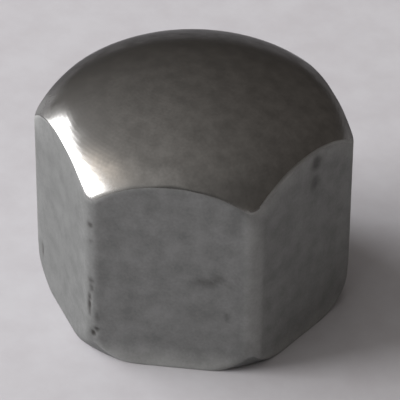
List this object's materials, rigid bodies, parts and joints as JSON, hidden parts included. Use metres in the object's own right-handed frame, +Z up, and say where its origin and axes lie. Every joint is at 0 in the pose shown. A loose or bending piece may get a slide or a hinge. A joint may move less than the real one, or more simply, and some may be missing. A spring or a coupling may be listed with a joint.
{
  "type": "cap nut",
  "caption": "Low hexagon cap nut with a smooth ball crown and a blind threaded hole, which closes over and protects the end of a bolt.",
  "frame": {"origin": "centre of the bearing face, on the axis of the threaded hole", "axes": "+Z up the axis to the top of the crown, +X square to one of the flats, +Y through a corner of the hexagon"},
  "size_m": [0.013, 0.0148, 0.012],
  "materials": {
    "bare_steel": "bare steel: dull drawn flats, smoother turned crown"
  },
  "bodies": {
    "root": {"cap_nut": "bare_steel"}
  },
  "joints": []
}
